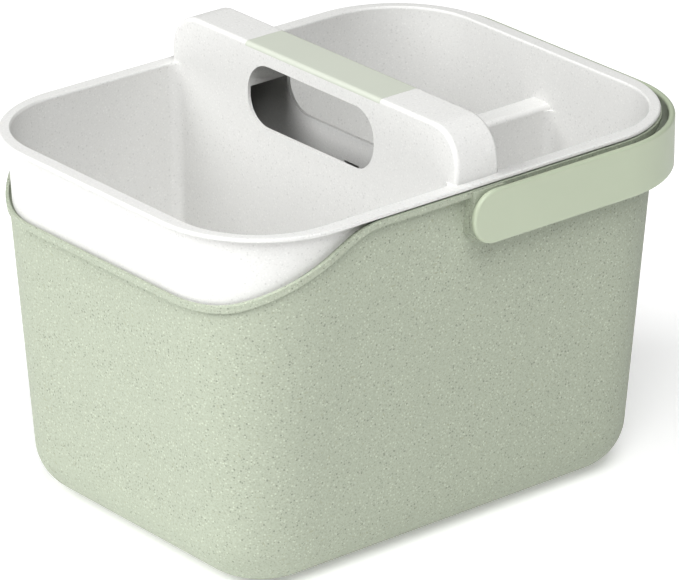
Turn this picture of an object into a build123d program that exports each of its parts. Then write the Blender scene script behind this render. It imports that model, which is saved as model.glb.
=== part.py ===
from build123d import *
import os

# Driving sizes, in mm. The base sits on z = 0 and its centre is the origin.
# +X runs along the length towards the end where the bail rests, +Z is up.

# Bucket
base_half_x = 134.6
base_half_y = 99.5
base_corner = 37.5
side_slope = 0.0765
foot_round = 27.0
bucket_wall = 2.2

# Rim line: low across the -X end, full height elsewhere
rim_height = 197.2
dip_depth = 36.9
ramp_start = 8.4
ramp_end = 59.6
ramp_low_round = 26.0
ramp_high_round = 42.0

# Lip around the rim, with a shelf inside it for the tray's skirt
lip_reach_end = 4.3
lip_reach_side = 4.2
lip_corner_grow = 8.9
lip_slope = 0.1
lip_drop = 3.4
lip_upstand = 1.8
shelf_depth = 1.8

# Tray
rim_stand = 2.8
rim_setback_end = 0.4
rim_setback_side = 0.8
rim_corner_grow = -0.5
rim_thick = 2.1
rim_edge = 1.0
mouth_round = 1.6
mouth_over = 0.2
tray_gap = 0.45
tray_wall = 1.9
tray_depth = 114.0
tray_floor = 2.0
tray_foot_round = 7.6
skirt_inset = 4.0
skirt_slope = 0.06
skirt_wall = 1.8
seat_gap = 0.35

# Arch across the tray
arch_setback = 4.4
arch_rise = 27.5
arch_shoulder = 19.0
arch_half_x = 12.9
arch_slope = 0.045
arch_wall = 1.9
arch_edge = 2.2
arch_root_round = 6.0

# Hand hole through the arch, measured down from the arch's top
hole_width = 100.6
hole_bottom_drop = 42.3
hole_top_drop = 8.8
hole_corner = 15.5
lining_wall = 1.8
lining_drop = 24.0

# Grip cap on top of the arch
cap_overlap = 3.2
cap_thick = 2.4
cap_gap = 0.12
cap_floor_wall = 2.0
hook_length = 10.0
hook_thick = 1.6
hook_outer_x = 9.8
hook_catch = 0.8
hook_gap = 0.3
barb_height = 1.4
hook_places = (-34.0, 34.0)

# Divider behind the arch
divider_drop = 27.8
divider_half = 7.6
divider_slope = 0.035
divider_root_round = 6.0
divider_edge = 3.0
divider_roof = 2.5

# Bail and its pivots
pivot_drop = 14.8
bail_half_height = 14.3
bail_end_gap = 3.4
bail_side_gap = 1.7
bail_corner_grow = 0.5
bail_thick = 3.4
bail_edge = 1.5
arm_end_x = 3.8
stud_radius = 3.2
stud_clearance = 0.05
stud_end_gap = 0.4
stud_chamfer = 0.8
face_gap = 0.4
lug_centre_x = 2.0
lug_side = 7.3
lug_top_gap = 0.3
lug_inset = 0.7
lug_step = 3.2
lug_chamfer = 5.5
bore_floor = 2.8
stop_offset = 2.4
stop_radius = 1.2
stop_height = 1.8
stop_clearance = 0.3

# Worked out from the sizes above
far = 400.0
arch_reach = 60
overlap = 0.5
slot_overlap = 1
trough_overlap = 6
tall_edge = 20
arch_span = 10
dip_height = rim_height - dip_depth
ramp_start_x = -base_half_x - ramp_start
ramp_end_x = -base_half_x + ramp_end
wall_grow = side_slope * rim_height
base_outline = (base_half_x, base_half_y, base_corner)
lip_half_x = base_half_x + wall_grow + lip_reach_end
lip_half_y = base_half_y + wall_grow + lip_reach_side
lip_corner = base_corner + wall_grow + lip_corner_grow
lip_outline = (lip_half_x, lip_half_y, lip_corner)
rim_top = rim_height + rim_stand
rim_underside = rim_top - rim_thick
rim_half_y = lip_half_y - rim_setback_side
rim_outline = (lip_half_x - rim_setback_end, rim_half_y, lip_corner + rim_corner_grow)
tray_base_z = rim_top - tray_depth
floor_z = tray_base_z + tray_floor
tray_inset = bucket_wall + tray_gap
cavity_inset = tray_inset + tray_wall
divider_top = rim_top - divider_drop
crest_z = divider_top - divider_edge
arch_half_y = rim_half_y - arch_setback
arch_top = rim_top + arch_rise
hole_low = arch_top - hole_bottom_drop
hole_high = arch_top - hole_top_drop
lining_low = arch_top - lining_drop
cap_seat = arch_top - cap_thick
cap_half_y = hole_width / 2 + cap_overlap
strap_underside = cap_seat - cap_floor_wall
barb_top = strap_underside - hook_gap
pivot_z = rim_height - pivot_drop
bail_outline = (lip_half_x + bail_end_gap, lip_half_y + bail_side_gap, lip_corner + bail_corner_grow)
bail_inner_y = bail_outline[1]
lug_face_y = bail_inner_y - face_gap
lug_half_x = stud_radius + lug_side
pivot_wall_y = base_half_y + side_slope * pivot_z - bucket_wall
bore_end_y = pivot_wall_y + bore_floor
stop_orbit = stud_radius + stop_offset


def section(outline, inset, z):
    """A rounded rectangle (half length, half width, corner), moved in by inset, at height z."""
    half_x, half_y, corner = [size - inset for size in outline]
    return Plane.XY.offset(z) * RectangleRounded(2 * half_x, 2 * half_y, corner)


def tapered_block(outline, slope, datum_z, inset, z_low, z_high):
    """A rounded block that narrows downwards; outline is its size at datum_z."""
    low = section(outline, slope * (datum_z - z_low) + inset, z_low)
    high = section(outline, slope * (datum_z - z_high) + inset, z_high)
    return loft([low, high], ruled=True)


def leaning_block(inset, z_low, z_high):
    """The bucket's outside moved in by inset, between two heights."""
    return tapered_block(base_outline, side_slope, 0, inset, z_low, z_high)


def lip_block(inset, z_low, z_high):
    return tapered_block(lip_outline, lip_slope, rim_height, inset, z_low, z_high)


def skirt_block(inset, z_low, z_high):
    return tapered_block(rim_outline, skirt_slope, rim_underside, skirt_inset + inset, z_low, z_high)


def below_rim_line(drop):
    """Everything under the bucket's rim line, moved down square to the line by drop."""
    low = (ramp_start_x, dip_height)
    high = (ramp_end_x, rim_height)
    start = (-far, dip_height)
    end = (far, rim_height)
    face = make_face(Polyline((-far, -far), start, low, high, end, (far, -far), close=True))
    face = fillet(face.vertices().sort_by_distance(low)[0], ramp_low_round)
    face = fillet(face.vertices().sort_by_distance(high)[0], ramp_high_round)
    if drop:
        face = offset(face, -drop, kind=Kind.INTERSECTION)
    return extrude(Plane.XZ * face, amount=far, both=True)


def box_between(x, y, z):
    """A box from three (low, high) pairs."""
    size = [high - low for low, high in (x, y, z)]
    middle = [(high + low) / 2 for low, high in (x, y, z)]
    return Pos(*middle) * Box(*size)


def edges_at_height(solid, z):
    """Edges lying flat at height z."""
    return solid.edges().filter_by_position(Axis.Z, z - 0.01, z + 0.01)


def steep_edges(solid, near_x):
    """Edges that climb the solid near the plane x = near_x."""
    found = ShapeList()
    for edge in solid.edges():
        box = edge.bounding_box()
        tall = box.size.Z > 20
        close = abs(abs(edge.center().X) - near_x) < 6
        if tall and close:
            found.append(edge)
    return found


def half_thickness(top_half, slope, top_z, z):
    return top_half + slope * (top_z - z)


def wedge(top_half, slope, top_z, inset, plane):
    """A wall standing on its thick end: half thickness top_half - inset at top_z."""
    low_z = -20.0
    high_z = top_z + 20.0
    low = half_thickness(top_half, slope, top_z, low_z) - inset
    high = half_thickness(top_half, slope, top_z, high_z) - inset
    outline = Polyline((-low, low_z), (low, low_z), (high, high_z), (-high, high_z), close=True)
    return extrude(plane * make_face(outline), amount=far, both=True)


def arch_wedge(inset):
    return wedge(arch_half_x, arch_slope, arch_top, inset, Plane.XZ)


def divider_wedge(inset):
    return wedge(divider_half, divider_slope, crest_z, inset, Plane.YZ)


def lug(side):
    """Pivot block on one long side, with its blind bore and the groove for the stop."""
    top = rim_height - lug_top_gap
    low = pivot_z - bail_half_height
    root_y = pivot_wall_y + bucket_wall / 2
    block = None
    for inset, face_y in ((0.0, lug_face_y - lug_step), (lug_inset, lug_face_y)):
        outline = Rectangle(2 * (lug_half_x - inset), top - low - inset)
        outline = chamfer(outline.vertices().sort_by(Axis.Y)[:2], lug_chamfer)
        face = Plane.XZ * Pos(lug_centre_x, (top + low + inset) / 2) * outline
        layer = Pos(0, -root_y, 0) * extrude(face, amount=face_y - root_y)
        block = layer if block is None else block + layer
    bore = Pos(0, -far / 2, pivot_z) * Rot(90, 0, 0) * Cylinder(stud_radius + stud_clearance, far)
    bore = bore & box_between((-far, far), (-far, -bore_end_y), (-far, far))
    groove_half = stop_radius + stop_clearance
    ring = Circle(stop_orbit + groove_half) - Circle(stop_orbit - groove_half)
    upper = Pos(0, far / 2) * Rectangle(far, far)
    ends = Pos(-stop_orbit, 0) * Circle(groove_half) + Pos(stop_orbit, 0) * Circle(groove_half)
    groove_face = Plane.XZ * Pos(0, pivot_z) * ((ring & upper) + ends)
    groove_floor = bail_inner_y - stop_height - stop_clearance
    groove = Pos(0, -groove_floor, 0) * extrude(groove_face, amount=far)
    block = block - groove
    if side > 0:
        return block.mirror(Plane.XZ), bore.mirror(Plane.XZ)
    return block, bore


def make_bucket():
    outside = leaning_block(0, 0, rim_top)
    outside = fillet(edges_at_height(outside, 0), foot_round)
    inside = leaning_block(bucket_wall, bucket_wall, rim_top + 1)
    inside = fillet(edges_at_height(inside, bucket_wall), foot_round - bucket_wall)
    under_rim = below_rim_line(0)
    shell = (outside - inside) & under_rim
    lip_low = dip_height - 3 * lip_drop
    lip = (lip_block(0, lip_low, rim_height) & under_rim) - below_rim_line(lip_drop) - inside
    shelf = lip_block(lip_upstand, lip_low, rim_height + 1) - below_rim_line(shelf_depth)
    body = shell + lip
    for side in (-1, 1):
        block, bore = lug(side)
        body = (body + block) - bore
    return body - shelf


def make_bail():
    ring = section(bail_outline, -bail_thick, 0) - section(bail_outline, 0, 0)
    ring = Pos(0, 0, pivot_z - bail_half_height) * extrude(ring, amount=2 * bail_half_height)
    strip = Pos(far / 2, 0) * Rectangle(far, 2 * bail_half_height) + Circle(bail_half_height)
    band = ring & extrude(Plane.XZ * Pos(arm_end_x, pivot_z) * strip, amount=far, both=True)
    rims = band.edges().filter_by(lambda edge: edge.length > bail_thick * 1.5)
    band = fillet(rims, bail_edge)
    stud_length = bail_inner_y - bore_end_y - stud_end_gap
    root = bail_thick / 2
    for side in (-1, 1):
        stud = Cylinder(stud_radius, stud_length + root)
        stud = chamfer(stud.edges().sort_by(Axis.Z)[0], stud_chamfer)
        stud_y = bail_inner_y - (stud_length - root) / 2
        band += Pos(0, side * stud_y, pivot_z) * Rot(side * -90, 0, 0) * stud
        nub = Cylinder(stop_radius, stop_height + root)
        nub_y = bail_inner_y - (stop_height - root) / 2
        band += Pos(stop_orbit, side * nub_y, pivot_z) * Rot(90, 0, 0) * nub
    return band


def cavity_plug():
    """All the room inside the tray, flaring out where the rim rolls over into it."""
    top = rim_top + mouth_over
    around = extrude(section(rim_outline, 0, floor_z), amount=top - floor_z)
    wall = around - leaning_block(cavity_inset, floor_z, top)
    mouth = wall.faces().sort_by(Axis.Z)[-1].inner_wires()[0]
    wall = fillet(mouth.edges(), mouth_round)
    room = extrude(section(rim_outline, mouth_round, floor_z), amount=rim_top - floor_z)
    return room - wall


def tray_cavities():
    """The three compartments as solids to be taken out of the tray."""
    arch_face_x = half_thickness(arch_half_x, arch_slope, arch_top, (floor_z + rim_top) / 2)
    halves = []
    for half in alone(cavity_plug() - arch_wedge(0)):
        halves.append(fillet(steep_edges(half, arch_face_x), arch_root_round))
    front, rear = halves
    crest = divider_crest()
    above = (rear & box_between((-far, far), (-far, far), (crest_z, far))) - crest
    below = (rear & box_between((-far, far), (-far, far), (-far, crest_z))) - divider_wedge(0)
    parts = [round_floor(front), above]
    for side in alone(below):
        roots = side.edges().filter_by(beside_divider)
        parts.append(round_floor(fillet(roots, divider_root_round)))
    return parts


def divider_crest():
    """The rounded top of the divider, reaching into the walls at both ends."""
    outline = Pos(0, crest_z) * Rectangle(2 * divider_half, 2 * divider_edge)
    outline = fillet(outline.vertices().sort_by(Axis.Y)[2:], divider_edge * 0.98)
    return extrude(Plane.YZ * outline, amount=far)


def alone(shape):
    """The solids of a shape as parts of their own, in order along the length."""
    return [Part() + solid for solid in shape.solids().sort_by(Axis.X)]


def beside_divider(edge):
    """True for the steep edges at either end of the divider."""
    tall = edge.bounding_box().size.Z > tall_edge
    return tall and abs(edge.center().Y) < 3 * divider_half


def round_floor(solid):
    return fillet(edges_at_height(solid, floor_z), tray_foot_round - tray_floor)


def arch_profile(inset, z_low, top):
    """The arch seen from the end compartment, as a face on the YZ plane."""
    half = arch_half_y - inset
    outline = Pos(0, (z_low + top) / 2) * Rectangle(2 * half, top - z_low)
    upper = outline.vertices().sort_by(Axis.Y)[2:]
    return Plane.YZ * fillet(upper, arch_shoulder - inset)


def hand_hole(grow):
    centre_z = (hole_low + hole_high) / 2
    height = hole_high - hole_low + 2 * grow
    outline = RectangleRounded(hole_width + 2 * grow, height, hole_corner + grow)
    return extrude(Plane.YZ * Pos(0, centre_z) * outline, amount=arch_reach, both=True)


def make_arch_top():
    block = extrude(arch_profile(0, rim_underside, arch_top), amount=arch_reach, both=True) & arch_wedge(0)
    rims = ShapeList()
    for edge in block.edges():
        middle = edge.center()
        across = edge.bounding_box().size.X > arch_span
        if middle.Z > rim_underside + 0.1 and not across:
            rims.append(edge)
    return fillet(rims, arch_edge)


def hook_boxes(grow, z_low, z_high, catch):
    """The cap's four legs, or with grow the slots that they pass through."""
    boxes = []
    for y in hook_places:
        for side in (-1, 1):
            inner = side * (hook_outer_x - hook_thick - grow)
            outer = side * (hook_outer_x + grow + catch)
            span_x = (min(inner, outer), max(inner, outer))
            half = hook_length / 2 + grow
            boxes.append(box_between(span_x, (y - half, y + half), (z_low, z_high)))
    return boxes


def make_tray():
    body = leaning_block(tray_inset, tray_base_z, rim_underside + overlap)
    body = fillet(edges_at_height(body, tray_base_z), tray_foot_round)
    flange = extrude(section(rim_outline, 0, rim_underside), amount=rim_thick)
    flange = fillet(edges_at_height(flange, rim_top), rim_edge)
    flange = fillet(edges_at_height(flange, rim_underside), rim_edge / 2)
    skirt_low = dip_height - 2 * shelf_depth
    skirt_high = rim_underside + rim_thick / 2
    skirt = skirt_block(0, skirt_low, skirt_high) - skirt_block(skirt_wall, skirt_low, skirt_high)
    skirt -= below_rim_line(shelf_depth - seat_gap)
    body = body + flange + skirt + make_arch_top()
    for cavity in tray_cavities():
        body -= cavity
    inner = leaning_block(cavity_inset, tray_base_z - trough_overlap, rim_underside)
    trough = inner & arch_wedge(arch_wall)
    upper = arch_profile(arch_wall, rim_underside - trough_overlap, strap_underside)
    trough += extrude(upper, amount=arch_reach, both=True) & arch_wedge(arch_wall)
    slot = inner & divider_wedge(tray_wall)
    slot &= box_between((0, far), (-far, far), (-far, divider_top - divider_roof))
    body = body - trough - slot
    lining = (hand_hole(lining_wall) - hand_hole(0)) & arch_wedge(arch_wall / 2)
    lining &= box_between((-far, far), (-far, far), (lining_low, far))
    body = body - hand_hole(0) + lining
    body -= box_between((-far, far), (-cap_half_y, cap_half_y), (cap_seat, far))
    for opening in hook_boxes(hook_gap, strap_underside - slot_overlap, cap_seat + slot_overlap, 0):
        body -= opening
    return body


def make_cap():
    reach = cap_half_y - cap_gap
    plate = make_arch_top() & box_between((-far, far), (-reach, reach), (cap_seat, far))
    for leg in hook_boxes(0, barb_top - barb_height, cap_seat + cap_thick / 4, 0):
        plate += leg
    for barb in hook_boxes(0, barb_top - barb_height, barb_top, hook_catch):
        plate += barb
    return plate


def write_part(name, shape):
    solids = shape.solids()
    assert len(solids) == 1, f"{name} came out as {len(solids)} pieces"
    solid = solids[0]
    solid.label = name
    export_step(solid, f"parts/{name}.step")


def main():
    os.makedirs("parts", exist_ok=True)
    write_part("bucket", make_bucket())
    write_part("bail_handle", make_bail())
    write_part("tray", make_tray())
    write_part("grip_cap", make_cap())


main()
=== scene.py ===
import math

import bmesh
import bpy
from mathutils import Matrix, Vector

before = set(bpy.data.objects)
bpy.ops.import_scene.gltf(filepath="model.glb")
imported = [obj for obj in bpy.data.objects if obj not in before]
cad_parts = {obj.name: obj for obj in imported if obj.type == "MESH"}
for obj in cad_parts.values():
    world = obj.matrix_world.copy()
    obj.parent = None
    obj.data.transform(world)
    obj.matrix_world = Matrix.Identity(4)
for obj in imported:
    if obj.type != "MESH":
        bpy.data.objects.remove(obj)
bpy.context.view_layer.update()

bl_info = {
    "name": "Cleaning Caddy Finish",
    "version": (1, 0, 0),
    "blender": (4, 5, 0),
    "location": "3D View > Sidebar > Caddy",
    "description": "Finishes the pieces of a cleaning caddy and sets its studio",
    "category": "Object",
}

MM = 0.001

# Flecks: the shares of the radius where one starts to fade and where it ends, and how uneven they are
FLECK_CORE = 0.55
FLECK_EDGE = 1.15
FLECK_LEAST = 0.5

# Straw flecks, in fleck sizes: how far apart, how wide, and the share of the places that hold one
DARK_FLECKS = (2.0, 1.0, 0.45)
FINE_FLECKS = (1.2, 0.8, 0.55)
PALE_FLECKS = (1.5, 1.0, 0.5)
HUSKS = (3.2, 1.0, 0.22)
HUSK_STRETCH = (1.0, 1.0, 0.32)
HUSK_TURNS = ((0.3, 0.5, 0.1), (1.2, 0.2, 1.9), (2.1, 1.4, 0.7))

# Straw plastic
CLOUD_SIZE = 38 * MM
CLOUD_TONES = (0.98, 1.03)
GRAIN_SIZE = 0.9
GRAIN_RANGE = (0.36, 0.64)
WEAR_SIZE = 60 * MM
WEAR_ROUGHENING = 0.07
GRAIN_ROUGHENING = 0.05
STRAW_RELIEF = 0.11 * MM
BUCKET_CONTRAST = 1.2
BUCKET_ROUGHNESS = 0.62
TRAY_CONTRAST = 0.34
TRAY_ROUGHNESS = 0.55

# Satin plastic
FLOW_SIZE = 55 * MM
FLOW_TONES = (0.965, 1.03)
DUST_SPACING = 4.5 * MM
DUST_SIZE = 0.5 * MM
DUST_SHARE = 0.15
DUST_STRENGTH = 0.12
DUST_TONE = 0.8
POLISH_SIZE = 18 * MM
POLISH_CHANGE = 0.10
SKIN_SIZE = 0.9 * MM
RIPPLE_SIZE = 24 * MM
SATIN_RELIEF = 0.06 * MM
BAIL_ROUGHNESS = 0.42
CAP_ROUGHNESS = 0.45

# Floor and camera
FLOOR_CLOUD = 0.6
FLOOR_TONE = 0.995
FLOOR_RELIEF = 0.01 * MM
FLOOR_ROUGHNESS = 0.8
SENSOR_WIDTH = 36.0
VIEW_REACH = 60.0

# Softboxes: the name of the power, the width, the place and the point faced
SOFTBOXES = (
    ("key", 2.2, (-2.3, 0.75, 1.7), (0.0, 0.0, 0.1)),
    ("top", 2.4, (0.2, -0.2, 2.6), (0.0, 0.0, 0.0)),
    ("fill", 1.9, (-0.8, -1.6, 2.5), (0.0, 0.0, 0.1)),
)


class Amount:
    """A number that varies over a surface, so that plain arithmetic adds the nodes."""

    def __init__(self, finish, socket):
        self.finish = finish
        self.socket = socket

    def __add__(self, other):
        return self.finish.maths("ADD", self, other)

    def __sub__(self, other):
        return self.finish.maths("SUBTRACT", self, other)

    def __rsub__(self, other):
        return self.finish.maths("SUBTRACT", other, self)

    def __mul__(self, other):
        return self.finish.maths("MULTIPLY", self, other)

    def __lt__(self, other):
        return self.finish.maths("LESS_THAN", self, other)


class Finish:
    """A material being mixed: every node of it comes from add."""

    def __init__(self, name):
        self.material = bpy.data.materials.new(name)
        self.material.use_nodes = True
        self.tree = self.material.node_tree
        self.tree.nodes.clear()
        self.place = self.add("ShaderNodeTexCoord").outputs["Object"]

    def feed(self, socket, value):
        source = getattr(value, "socket", value)
        if isinstance(source, bpy.types.NodeSocket):
            self.tree.links.new(source, socket)
        elif socket.type == "RGBA" and len(source) == 3:
            socket.default_value = (*source, 1.0)
        else:
            socket.default_value = source

    def add(self, kind, settings=None, sockets=None):
        node = self.tree.nodes.new(kind)
        for name, value in (settings or {}).items():
            setattr(node, name, value)
        for name, value in (sockets or {}).items():
            self.feed(node.inputs[name], value)
        return node

    def maths(self, operation, first, second):
        node = self.add("ShaderNodeMath", {"operation": operation}, {0: first, 1: second})
        return Amount(self, node.outputs[0])

    def smooth_step(self, value, low, high):
        """0 below low, 1 above high and an even ramp between."""
        settings = {"interpolation_type": "SMOOTHSTEP", "clamp": True}
        sockets = {"Value": value, "From Min": low, "From Max": high}
        return Amount(self, self.add("ShaderNodeMapRange", settings, sockets).outputs["Result"])

    def noise(self, size, detail=2.0, roughness=0.5):
        """Cloudy variation whose blotches are about size across, from 0 to 1."""
        sockets = {"Vector": self.place, "Scale": 1 / size, "Detail": detail, "Roughness": roughness}
        return Amount(self, self.add("ShaderNodeTexNoise", sockets=sockets).outputs["Fac"])

    def turned(self, angles, stretch):
        """The surface's place, turned and stretched, for grain that runs one way."""
        settings = {"vector_type": "POINT"}
        turn = self.add("ShaderNodeMapping", settings, {"Vector": self.place, "Rotation": angles})
        sockets = {"Vector": turn.outputs["Vector"], "Scale": stretch}
        return self.add("ShaderNodeMapping", settings, sockets).outputs["Vector"]

    def flecks(self, spacing, width, share, angles=(0.0, 0.0, 0.0), stretch=(1.0, 1.0, 1.0)):
        """Scattered specks: share of the cells, spacing apart, hold one that is width across."""
        where = self.turned(angles, stretch)
        sockets = {"Vector": where, "Scale": 1 / spacing, "Randomness": 1.0}
        cells = self.add("ShaderNodeTexVoronoi", {"feature": "F1"}, sockets)
        reach = Amount(self, cells.outputs["Distance"])
        draw = self.add("ShaderNodeSeparateColor", sockets={"Color": cells.outputs["Color"]})
        chosen = Amount(self, draw.outputs["Red"]) < share
        uneven = Amount(self, draw.outputs["Green"]) * (1.0 - FLECK_LEAST) + FLECK_LEAST
        radius = width / spacing / 2
        inside = 1.0 - self.smooth_step(reach, radius * FLECK_CORE, radius * FLECK_EDGE)
        return inside * chosen * uneven

    def blend(self, share, first, second):
        """Colour first, changing to second where share is 1."""
        settings = {"data_type": "RGBA", "blend_type": "MIX", "clamp_factor": True}
        node = self.add("ShaderNodeMix", settings)
        self.feed(node.inputs["Factor"], share)
        colours = [socket for socket in node.inputs if socket.type == "RGBA"]
        self.feed(colours[0], first)
        self.feed(colours[1], second)
        return [socket for socket in node.outputs if socket.type == "RGBA"][0]

    def bump(self, height, depth, strength=1.0):
        """A surface that rises by depth where height is 1."""
        sockets = {"Strength": strength, "Distance": depth, "Height": height}
        return self.add("ShaderNodeBump", sockets=sockets).outputs["Normal"]

    def plastic(self, colour, roughness, normal, gloss=0.45, glow=0.0):
        """Close the material with a moulded plastic surface, which may give off a little light."""
        sockets = {
            "Base Color": colour,
            "Roughness": roughness,
            "Normal": normal,
            "IOR": 1.47,
            "Specular IOR Level": gloss,
            "Emission Color": (1.0, 1.0, 1.0),
            "Emission Strength": glow,
        }
        surface = self.add("ShaderNodeBsdfPrincipled", sockets=sockets)
        end = self.add("ShaderNodeOutputMaterial")
        self.tree.links.new(surface.outputs["BSDF"], end.inputs["Surface"])
        return self.material


def shade(colour, amount):
    """The colour made darker (below 1) or lighter (above 1)."""
    return tuple(min(1.0, channel * amount) for channel in colour)


def straw_plastic(name, colour, husk, fleck_size, contrast, roughness):
    """Plastic filled with ground straw: pale and dark specks, short husks and a fine matte grain."""
    finish = Finish(name)

    def scatter(kind, **turning):
        spacing, width, share = kind
        return finish.flecks(spacing * fleck_size, width * fleck_size, share, **turning)

    dark = scatter(DARK_FLECKS)
    fine = scatter(FINE_FLECKS, angles=(0.4, 0.9, 0.2))
    pale = scatter(PALE_FLECKS, angles=(1.1, 0.3, 0.8))
    layers = [scatter(HUSKS, angles=angles, stretch=HUSK_STRETCH) for angles in HUSK_TURNS]
    husks = layers[0] + layers[1] + layers[2]
    clouds = finish.noise(CLOUD_SIZE, detail=3.0, roughness=0.55)
    grain = finish.noise(GRAIN_SIZE * fleck_size, detail=2.0, roughness=0.6)
    speckle = finish.smooth_step(grain, *GRAIN_RANGE)
    body = finish.blend(clouds, shade(colour, CLOUD_TONES[0]), shade(colour, CLOUD_TONES[1]))
    coats = (
        (speckle, 0.5, shade(colour, 0.80)),
        (pale, 0.9, shade(colour, 1.28)),
        (dark, 1.0, shade(colour, 0.55)),
        (fine, 0.8, shade(colour, 0.68)),
        (husks, 0.75, husk),
    )
    for share, strength, tone in coats:
        body = finish.blend(share * (strength * contrast), body, tone)
    worn = finish.noise(WEAR_SIZE, detail=2.0) * WEAR_ROUGHENING + (roughness - 0.03)
    dull = worn + grain * GRAIN_ROUGHENING
    relief = grain * 0.6 + dark * 0.3 - pale * 0.2
    return finish.plastic(body, dull, finish.bump(relief, STRAW_RELIEF, 0.8), gloss=0.4)


def satin_plastic(name, colour, roughness):
    """Smooth unfilled plastic with a soft sheen, faint flow marks and light wear."""
    finish = Finish(name)
    flow = finish.noise(FLOW_SIZE, detail=3.0, roughness=0.5)
    body = finish.blend(flow, shade(colour, FLOW_TONES[0]), shade(colour, FLOW_TONES[1]))
    dust = finish.flecks(DUST_SPACING, DUST_SIZE, DUST_SHARE)
    body = finish.blend(dust * DUST_STRENGTH, body, shade(colour, DUST_TONE))
    polish = finish.noise(POLISH_SIZE, detail=4.0, roughness=0.6) * POLISH_CHANGE
    polish = polish + (roughness - POLISH_CHANGE / 2)
    skin = finish.noise(SKIN_SIZE, detail=2.0)
    ripple = finish.noise(RIPPLE_SIZE, detail=1.0)
    height = skin * 0.12 + ripple * 0.6
    return finish.plastic(body, polish, finish.bump(height, SATIN_RELIEF, 0.4), gloss=0.5)


def dress(node_name, material):
    """Give a CAD node its finish."""
    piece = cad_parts[node_name]
    if not piece.material_slots:
        raise RuntimeError(f"{node_name} has no material slot to dress")
    for slot in piece.material_slots:
        slot.material = material


def colour_property(name, description, default):
    """A linear colour that can be picked in the panel."""
    return bpy.props.FloatVectorProperty(
        name=name, description=description, subtype="COLOR", size=3, min=0.0, max=1.0, default=default,
    )


class CADDY_PG_finish(bpy.types.PropertyGroup):
    """Colours and grain of the caddy's plastics."""

    bucket_colour: colour_property(
        "Bucket colour", "Body colour of the bucket's filled plastic", (0.376, 0.413, 0.326),
    )
    bucket_husk: colour_property(
        "Bucket husk colour", "Colour of the short straw husks in the bucket", (0.31, 0.33, 0.24),
    )
    tray_colour: colour_property(
        "Tray colour", "Body colour of the tray and its arch", (0.670, 0.670, 0.655),
    )
    tray_husk: colour_property(
        "Tray husk colour", "Colour of the faint husks in the tray", (0.63, 0.62, 0.57),
    )
    bail_colour: colour_property(
        "Bail colour", "Colour of the smooth bail handle", (0.425, 0.478, 0.356),
    )
    cap_colour: colour_property(
        "Cap colour", "Colour of the grip cap on the arch", (0.53, 0.56, 0.485),
    )
    fleck_size: bpy.props.FloatProperty(
        name="Fleck size", description="Typical width of a straw fleck",
        subtype="DISTANCE", unit="LENGTH", min=0.0002, max=0.005, default=1.15 * MM, precision=5,
    )


class CADDY_PG_stage(bpy.types.PropertyGroup):
    """Camera, lights and floor."""

    azimuth: bpy.props.FloatProperty(
        name="Azimuth", description="Direction that the camera looks in, turned about the vertical",
        subtype="ANGLE", unit="ROTATION", default=math.radians(-39.62),
    )
    elevation: bpy.props.FloatProperty(
        name="Elevation", description="How far the camera looks down",
        subtype="ANGLE", unit="ROTATION", default=math.radians(23.37),
    )
    distance: bpy.props.FloatProperty(
        name="Distance", description="From the camera to the point that it looks at",
        subtype="DISTANCE", unit="LENGTH", default=2.797,
    )
    look_height: bpy.props.FloatProperty(
        name="Look height", description="Height of the point that the camera looks at",
        subtype="DISTANCE", unit="LENGTH", default=0.1026,
    )
    lens: bpy.props.FloatProperty(
        name="Lens", description="Focal length on a 36 mm sensor", unit="CAMERA", default=287.3,
    )
    shift: bpy.props.FloatProperty(
        name="Shift", description="Sideways shift of the frame, as a share of its width",
        default=0.0122,
    )
    floor_colour: colour_property(
        "Floor colour", "Colour of the plain floor", (0.93, 0.93, 0.93),
    )
    floor_size: bpy.props.FloatProperty(
        name="Floor size", description="Width of the floor",
        subtype="DISTANCE", unit="LENGTH", default=24.0,
    )
    sky: bpy.props.FloatProperty(
        name="Sky", description="Brightness of the even light from all round", default=0.02,
    )
    key: bpy.props.FloatProperty(
        name="Key light", description="Power of the large light facing the dipped end",
        subtype="POWER", unit="POWER", default=86.0,
    )
    top: bpy.props.FloatProperty(
        name="Top light", description="Power of the soft light overhead",
        subtype="POWER", unit="POWER", default=8.0,
    )
    fill: bpy.props.FloatProperty(
        name="Fill light", description="Power of the soft light high on the camera's side",
        subtype="POWER", unit="POWER", default=84.0,
    )
    floor_glow: bpy.props.FloatProperty(
        name="Floor glow",
        description="Light that the floor gives off itself, which keeps its shadows faint",
        default=0.28,
    )


class CADDY_OT_bucket(bpy.types.Operator):
    """Finish the bucket in flecked matte plastic"""

    bl_idname = "caddy.bucket"
    bl_label = "Finish bucket"

    def execute(self, context):
        look = context.scene.caddy_finish
        material = straw_plastic(
            "straw_green", tuple(look.bucket_colour), tuple(look.bucket_husk), look.fleck_size,
            BUCKET_CONTRAST, BUCKET_ROUGHNESS,
        )
        dress("bucket", material)
        return {"FINISHED"}


class CADDY_OT_tray(bpy.types.Operator):
    """Finish the tray and its arch in faintly flecked white plastic"""

    bl_idname = "caddy.tray"
    bl_label = "Finish tray"

    def execute(self, context):
        look = context.scene.caddy_finish
        material = straw_plastic(
            "straw_white", tuple(look.tray_colour), tuple(look.tray_husk), look.fleck_size,
            TRAY_CONTRAST, TRAY_ROUGHNESS,
        )
        dress("tray", material)
        return {"FINISHED"}


class CADDY_OT_bail(bpy.types.Operator):
    """Finish the bail handle in smooth satin plastic"""

    bl_idname = "caddy.bail"
    bl_label = "Finish bail handle"

    def execute(self, context):
        look = context.scene.caddy_finish
        dress("bail_handle", satin_plastic("satin_bail", tuple(look.bail_colour), BAIL_ROUGHNESS))
        return {"FINISHED"}


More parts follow.
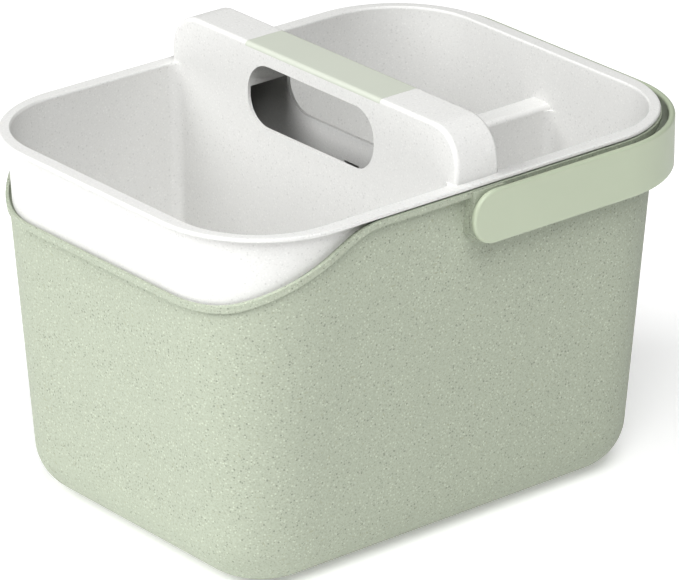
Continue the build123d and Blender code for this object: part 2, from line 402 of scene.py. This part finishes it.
class CADDY_OT_cap(bpy.types.Operator):
    """Finish the grip cap in smooth satin plastic"""

    bl_idname = "caddy.cap"
    bl_label = "Finish grip cap"

    def execute(self, context):
        look = context.scene.caddy_finish
        dress("grip_cap", satin_plastic("satin_cap", tuple(look.cap_colour), CAP_ROUGHNESS))
        return {"FINISHED"}


def add_softbox(name, power, size, position, target):
    """A large square light at position, facing target."""
    lamp = bpy.data.lights.new(name, "AREA")
    lamp.shape = "SQUARE"
    lamp.size = size
    lamp.energy = power
    holder = bpy.data.objects.new(name, lamp)
    holder.location = position
    holder.rotation_euler = (Vector(target) - Vector(position)).to_track_quat("-Z", "Y").to_euler()
    bpy.context.scene.collection.objects.link(holder)


def add_floor(look):
    """A plain pale floor under the caddy."""
    shape = bmesh.new()
    bmesh.ops.create_grid(shape, x_segments=1, y_segments=1, size=look.floor_size / 2)
    mesh = bpy.data.meshes.new("floor")
    shape.to_mesh(mesh)
    shape.free()
    floor = bpy.data.objects.new("floor", mesh)
    bpy.context.scene.collection.objects.link(floor)
    finish = Finish("floor_paint")
    cloud = finish.noise(FLOOR_CLOUD, detail=2.0)
    tone = finish.blend(cloud, shade(tuple(look.floor_colour), FLOOR_TONE), tuple(look.floor_colour))
    grain = finish.bump(cloud, FLOOR_RELIEF, 0.1)
    mesh.materials.append(finish.plastic(tone, FLOOR_ROUGHNESS, grain, gloss=0.2, glow=look.floor_glow))


def add_camera(look):
    """The camera, at its angle and distance from the caddy."""
    lens = bpy.data.cameras.new("camera")
    lens.lens = look.lens
    lens.sensor_width = SENSOR_WIDTH
    lens.shift_x = look.shift
    lens.clip_end = VIEW_REACH
    holder = bpy.data.objects.new("camera", lens)
    level = math.cos(look.elevation)
    back = Vector((
        math.sin(look.azimuth) * level,
        -math.cos(look.azimuth) * level,
        math.sin(look.elevation),
    ))
    target = Vector((0.0, 0.0, look.look_height))
    holder.location = target + back * look.distance
    holder.rotation_euler = (-back).to_track_quat("-Z", "Y").to_euler()
    bpy.context.scene.collection.objects.link(holder)
    bpy.context.scene.camera = holder


class CADDY_OT_stage(bpy.types.Operator):
    """Set the floor, the soft studio light and the camera"""

    bl_idname = "caddy.stage"
    bl_label = "Set the studio"

    def execute(self, context):
        look = context.scene.caddy_stage
        add_floor(look)
        add_camera(look)
        for name, size, position, target in SOFTBOXES:
            add_softbox(f"{name}_light", getattr(look, name), size, position, target)
        world = bpy.data.worlds.new("studio")
        world.use_nodes = True
        sky = world.node_tree.nodes["Background"]
        sky.inputs["Color"].default_value = (1.0, 1.0, 1.0, 1.0)
        sky.inputs["Strength"].default_value = look.sky
        context.scene.world = world
        context.scene.view_settings.view_transform = "Standard"
        return {"FINISHED"}


class CADDY_PT_panel(bpy.types.Panel):
    """Finishes and studio of the cleaning caddy"""

    bl_idname = "CADDY_PT_panel"
    bl_label = "Cleaning Caddy"
    bl_space_type = "VIEW_3D"
    bl_region_type = "UI"
    bl_category = "Caddy"

    def draw(self, context):
        layout = self.layout
        for group in (context.scene.caddy_finish, context.scene.caddy_stage):
            box = layout.box()
            for name in group.__annotations__:
                box.prop(group, name)
        for operator in OPERATORS:
            layout.operator(operator.bl_idname)


OPERATORS = (CADDY_OT_bucket, CADDY_OT_tray, CADDY_OT_bail, CADDY_OT_cap, CADDY_OT_stage)
CLASSES = (CADDY_PG_finish, CADDY_PG_stage, *OPERATORS, CADDY_PT_panel)


def register():
    for item in CLASSES:
        bpy.utils.register_class(item)
    bpy.types.Scene.caddy_finish = bpy.props.PointerProperty(type=CADDY_PG_finish)
    bpy.types.Scene.caddy_stage = bpy.props.PointerProperty(type=CADDY_PG_stage)


def unregister():
    del bpy.types.Scene.caddy_stage
    del bpy.types.Scene.caddy_finish
    for item in reversed(CLASSES):
        bpy.utils.unregister_class(item)


def main():
    register()
    bpy.ops.caddy.stage()
    bpy.ops.caddy.bucket()
    bpy.ops.caddy.tray()
    bpy.ops.caddy.bail()
    bpy.ops.caddy.cap()


if __name__ == "__main__":
    main()
